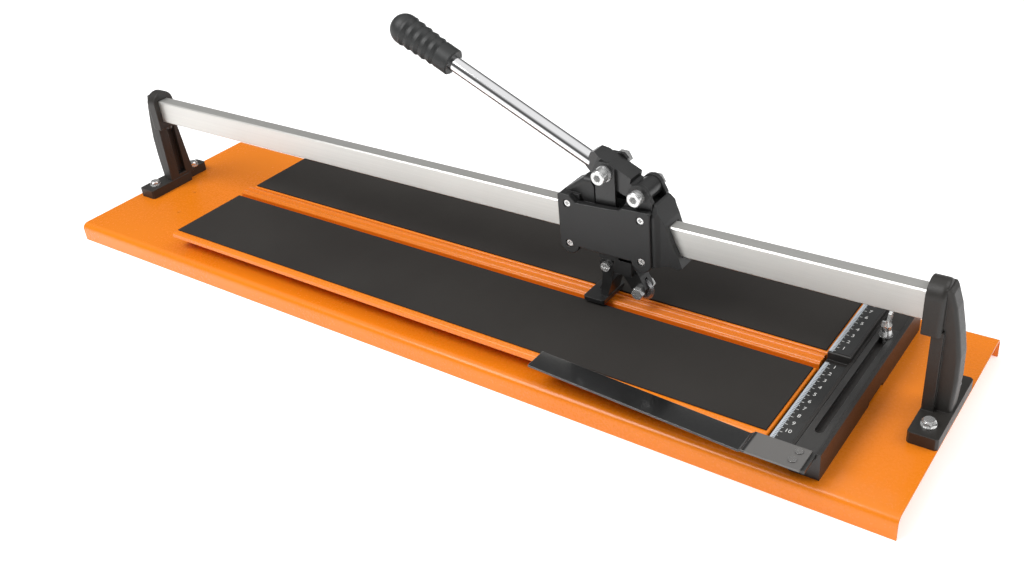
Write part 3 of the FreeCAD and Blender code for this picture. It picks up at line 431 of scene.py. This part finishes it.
chromeLook = {"colour": (0.86, 0.86, 0.87), "patchColour": (0.78, 0.78, 0.79), "patchAmount": 0.3,
              "smoothest": 0.04, "roughest": 0.10, "grain": 300.0, "patch": 30.0, "metal": 1.0, "bump": 0.02,
              "depth": 0.02, "edge": 0.3}
dress(makeFinish("rodChrome", chromeLook), "lever_rod")

gripLook = {"colour": (0.017, 0.018, 0.018), "patchColour": (0.030, 0.031, 0.031), "patchAmount": 0.5,
            "smoothest": 0.42, "roughest": 0.62, "grain": 1200.0, "patch": 25.0, "bump": 0.4, "depth": 0.12,
            "edge": 0.7, "wear": 0.2, "wornColour": (0.08, 0.08, 0.085)}
dress(makeFinish("gripRubber", gripLook), "lever_grip")

carrierLook = dict(blockLook, colour=(0.010, 0.010, 0.010), patchColour=(0.020, 0.020, 0.020), edge=0.5)
dress(makeFinish("carrierPaint", carrierLook), "tool_carrier", "breaker_foot")

wheelLook = dict(boltLook, colour=(0.45, 0.45, 0.46), patchColour=(0.33, 0.33, 0.34), smoothest=0.18,
                 roughest=0.3)
dress(makeFinish("wheelCarbide", wheelLook), "cutting_wheel")
print("carriage and lever finished")

# Side fence, slider and stop arm
fenceLook = {"colour": (0.016, 0.014, 0.013), "patchColour": (0.030, 0.027, 0.025), "patchAmount": 0.6,
             "smoothest": 0.34, "roughest": 0.52, "grain": 700.0, "patch": 25.0, "bump": 0.4, "depth": 0.14,
             "edge": 0.9, "wear": 0.3, "wornColour": (0.10, 0.095, 0.09)}
dress(makeFinish("fenceMoulding", fenceLook), "fence_body")

sliderLook = {"colour": (0.026, 0.025, 0.024), "patchColour": (0.045, 0.044, 0.043), "patchAmount": 0.5,
              "smoothest": 0.28, "roughest": 0.42, "grain": 500.0, "patch": 30.0, "bump": 0.15, "depth": 0.08,
              "edge": 0.5, "wear": 0.5, "wornColour": (0.20, 0.20, 0.20)}
dress(makeFinish("sliderPaint", sliderLook), "stop_slider")

# the plate colour is a painted sheen: grey painted over the gloss black plate in place of a reflection
armLook = {"plateFrom": 361.0, "plateSheenColour": (0.13, 0.125, 0.12), "plateRougher": 0.2,
           "colour": (0.005, 0.005, 0.005), "patchColour": (0.010, 0.010, 0.010), "patchAmount": 0.4,
           "smoothest": 0.10, "roughest": 0.26, "grain": 500.0, "patch": 12.0, "bump": 0.1, "depth": 0.06,
           "edge": 0.5, "wear": 1.0, "wornColour": (0.55, 0.53, 0.51), "coat": 0.3}


def makeArmFinish(look):
    # the plate riveted to the slider gets a painted grey sheen, a painted reflection on its gloss black; the
    # long arm keeps its gloss black
    material = makeFinish("armPaint", look)
    tree = material.node_tree
    shader = tree.nodes["Principled BSDF"]
    where = [node for node in tree.nodes if node.type == "TEX_COORD"][0].outputs["Object"]
    apart = addNode(tree, "ShaderNodeSeparateXYZ", (-700, 800))
    join(tree, where, apart.inputs[0])
    zone = addNode(tree, "ShaderNodeMapRange", (-450, 800), "painted sheen plate")
    zone.inputs["From Min"].default_value = look["plateFrom"] * mm
    zone.inputs["From Max"].default_value = (look["plateFrom"] + 1.5) * mm
    join(tree, apart.outputs["X"], zone.inputs["Value"])
    # painted reflection: grey sheen painted over the black beyond plateFrom
    rubbed = addNode(tree, "ShaderNodeMix", (350, 500), "painted grey sheen over black", data_type="RGBA")
    rubbed.inputs["B"].default_value = solidColour(look["plateSheenColour"])
    join(tree, zone.outputs["Result"], rubbed.inputs["Factor"])
    join(tree, shader.inputs["Base Color"].links[0].from_socket, rubbed.inputs["A"])
    join(tree, rubbed.outputs["Result"], shader.inputs["Base Color"])
    rougher = mathNode(tree, "MULTIPLY", (350, 700), zone.outputs["Result"], look["plateRougher"])
    total = mathNode(tree, "ADD", (520, 600), rougher, shader.inputs["Roughness"].links[0].from_socket)
    join(tree, total, shader.inputs["Roughness"])
    return material


dress(makeArmFinish(armLook), "stop_arm")
dress(makeFinish("armRivetSteel", dict(boltLook, colour=(0.30, 0.29, 0.28), patchColour=(0.2, 0.2, 0.2))),
      "arm_rivets")
dress(makeFinish("railScrewBlack", dict(sliderLook, coat=0.1)), "rail_screws")

# Ruler: black face with a silver strip at its inner edge; lengths in millimetres
rulerLook = {"colour": (0.020, 0.020, 0.020), "patchColour": (0.032, 0.032, 0.032), "patchAmount": 0.4,
             "smoothest": 0.28, "roughest": 0.42, "grain": 600.0, "patch": 30.0, "bump": 0.1, "depth": 0.03,
             "edge": 0.2, "wear": 0.2, "wornColour": (0.2, 0.2, 0.2), "strip": 3.6,
             "stripColour": (0.48, 0.52, 0.56), "tickWidth": 0.45, "print": 0.05, "sunk": 0.01, "margin": 0.4,
             "weld": 0.0001, "blackTicks": {"start": 1.6, "short": 1.9, "long": 1.9, "step": 2.0},
             "whiteTicks": {"start": 4.0, "short": 0.9, "long": 2.2, "step": 5.0}, "numeral": 5.6,
             "numeralX": 9.4, "centimetre": 10, "frontNumerals": 10, "frontShift": 3.2, "rearNumerals": 9,
             "rearShift": 1.0}


def makeRulerFinish(look):
    material = makeFinish("rulerFace", look)
    tree = material.node_tree
    shader = tree.nodes["Principled BSDF"]
    where = [node for node in tree.nodes if node.type == "TEX_COORD"][0].outputs["Object"]
    apart = addNode(tree, "ShaderNodeSeparateXYZ", (-700, 800))
    join(tree, where, apart.inputs[0])
    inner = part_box("front_scale")[0][0]
    side = mathNode(tree, "LESS_THAN", (-450, 800), apart.outputs["X"], inner + look["strip"] * mm,
                    "silver strip")
    strip = addNode(tree, "ShaderNodeMix", (350, 500), "silver over black", data_type="RGBA")
    strip.inputs["B"].default_value = solidColour(look["stripColour"])
    join(tree, side, strip.inputs["Factor"])
    join(tree, shader.inputs["Base Color"].links[0].from_socket, strip.inputs["A"])
    join(tree, strip.outputs["Result"], shader.inputs["Base Color"])
    return material


dress(makeRulerFinish(rulerLook), "front_scale", "rear_scale")


def addBar(mesh, low, high):
    corners = [mesh.verts.new((x, y, z))
               for x in (low[0], high[0]) for y in (low[1], high[1]) for z in (low[2], high[2])]
    for face in ((0, 1, 3, 2), (4, 6, 7, 5), (0, 4, 5, 1), (2, 3, 7, 6), (0, 2, 6, 4), (1, 5, 7, 3)):
        mesh.faces.new([corners[i] for i in face])


def rulerTicks(name, node, material, ticks):
    # printed strokes along one ruler, as one raised layer; the stroke at each centimetre is the long one
    low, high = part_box(node)
    mesh = bmesh.new()
    half = rulerLook["tickWidth"] * mm / 2
    step = ticks["step"]
    first = int(low[1] / (step * mm)) - 1
    for i in range(first, int(high[1] / (step * mm)) + 2):
        y = i * step * mm
        if y - half < low[1] + rulerLook["margin"] * mm or y + half > high[1] - rulerLook["margin"] * mm:
            continue
        reach = ticks["long"] if i * step % rulerLook["centimetre"] == 0 else ticks["short"]
        addBar(mesh, (low[0] + ticks["start"] * mm, y - half, high[2] - rulerLook["sunk"] * mm),
               (low[0] + (ticks["start"] + reach) * mm, y + half, high[2] + rulerLook["print"] * mm))
    bmesh.ops.recalc_face_normals(mesh, faces=mesh.faces)
    addPiece(name, mesh, material)


def rulerNumerals(name, node, numbers, material):
    # one raised numeral beside each centimetre stroke
    low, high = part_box(node)
    joined = bmesh.new()
    for number, y in numbers:
        curve = bpy.data.curves.new(name, "FONT")
        curve.body = str(number)
        curve.size = rulerLook["numeral"] * mm
        curve.extrude = rulerLook["print"] * mm / 2
        curve.align_x = "CENTER"
        curve.align_y = "CENTER"
        curve.resolution_u = 3
        holder = bpy.data.objects.new(name + "Draft", curve)
        shape = bpy.data.meshes.new_from_object(holder)
        shape.transform(Matrix.Translation((low[0] + rulerLook["numeralX"] * mm, y * mm,
                                            high[2] + rulerLook["print"] * mm / 2)))
        joined.from_mesh(shape)
        bpy.data.objects.remove(holder)
        bpy.data.curves.remove(curve)
        bpy.data.meshes.remove(shape)
    bmesh.ops.remove_doubles(joined, verts=joined.verts, dist=rulerLook["weld"] * mm)
    addPiece(name, joined, material)


whiteInkLook = {"colour": (0.80, 0.80, 0.78), "patchColour": (0.55, 0.55, 0.54), "patchAmount": 0.5,
                "smoothest": 0.45, "roughest": 0.6, "grain": 900.0, "patch": 200.0, "bump": 0.1,
                "depth": 0.02, "edge": 0.1, "wear": 0.0}
blackInkLook = dict(whiteInkLook, colour=(0.02, 0.02, 0.02), patchColour=(0.05, 0.05, 0.05))
whiteInk = makeFinish("whiteInk", whiteInkLook)
blackInk = makeFinish("blackInk", blackInkLook)
for end, node in (("front", "front_scale"), ("rear", "rear_scale")):
    rulerTicks(end + "InnerTicks", node, blackInk, rulerLook["blackTicks"])
    rulerTicks(end + "OuterTicks", node, whiteInk, rulerLook["whiteTicks"])
for end, side in (("front", -1), ("rear", 1)):
    numbers = [(k, side * rulerLook["centimetre"] * k + rulerLook[end + "Shift"])
               for k in range(1, rulerLook[end + "Numerals"] + 1)]
    rulerNumerals(end + "Numerals", end + "_scale", numbers, whiteInk)
print("fence and ruler finished")

# Studio: pale floor, pale surround with a dark band above the horizon, soft key and fill lights. Each shade
# of the surround is its height and its brightness.
studioLook = {"surround": 0.95, "shades": ((0.0, 1.0), (0.06, 1.0), (0.14, 0.12), (0.50, 0.12), (0.85, 1.0)),
              "floor": (0.93, 0.93, 0.93), "floorRough": 0.9, "floorGlow": 0.40, "floorReach": 60.0,
              "key": (-0.9, -1.3, 2.2), "keySize": 1.6, "keyPower": 46.0, "fill": (1.6, 0.8, 1.7),
              "fillSize": 1.8, "fillPower": 16.0}


def makeWorld(look):
    world = bpy.data.worlds.new("studioSurround")
    bpy.context.scene.world = world
    world.use_nodes = True
    tree = world.node_tree
    light = tree.nodes["Background"]
    where = addNode(tree, "ShaderNodeTexCoord", (-900, 0))
    apart = addNode(tree, "ShaderNodeSeparateXYZ", (-700, 0))
    join(tree, where.outputs["Generated"], apart.inputs[0])
    climb = addNode(tree, "ShaderNodeValToRGB", (-500, 0), "pale horizon, dark band, bright top")
    join(tree, apart.outputs["Z"], climb.inputs["Fac"])
    ramp = climb.color_ramp
    while len(ramp.elements) < len(look["shades"]):
        ramp.elements.new(0.5)
    for element, (height, shade) in zip(ramp.elements, look["shades"]):
        element.position = height
        element.color = (shade, shade, shade, 1.0)
    join(tree, climb.outputs["Color"], light.inputs["Color"])
    light.inputs["Strength"].default_value = look["surround"]


def makeFloor(look):
    mesh = bmesh.new()
    bmesh.ops.create_grid(mesh, x_segments=4, y_segments=4, size=look["floorReach"])
    data = bpy.data.meshes.new("floorSheet")
    mesh.to_mesh(data)
    mesh.free()
    floor = bpy.data.objects.new("floorSheet", data)
    bpy.context.scene.collection.objects.link(floor)
    material = bpy.data.materials.new("floorPaper")
    material.use_nodes = True
    shader = material.node_tree.nodes["Principled BSDF"]
    shader.inputs["Base Color"].default_value = solidColour(look["floor"])
    shader.inputs["Roughness"].default_value = look["floorRough"]
    shader.inputs["Emission Color"].default_value = (1, 1, 1, 1)
    shader.inputs["Emission Strength"].default_value = look["floorGlow"]
    data.materials.append(material)


def softLight(name, place, size, power, target=(0, 0, 0.05)):
    data = bpy.data.lights.new(name, "AREA")
    data.shape = "DISK"
    data.size = size
    data.energy = power
    lamp = bpy.data.objects.new(name, data)
    bpy.context.scene.collection.objects.link(lamp)
    lamp.location = place
    lamp.rotation_euler = (Vector(target) - Vector(place)).to_track_quat("-Z", "Y").to_euler()


makeWorld(studioLook)
makeFloor(studioLook)
softLight("keyLight", studioLook["key"], studioLook["keySize"], studioLook["keyPower"])
softLight("fillLight", studioLook["fill"], studioLook["fillSize"], studioLook["fillPower"])
print("studio lit")
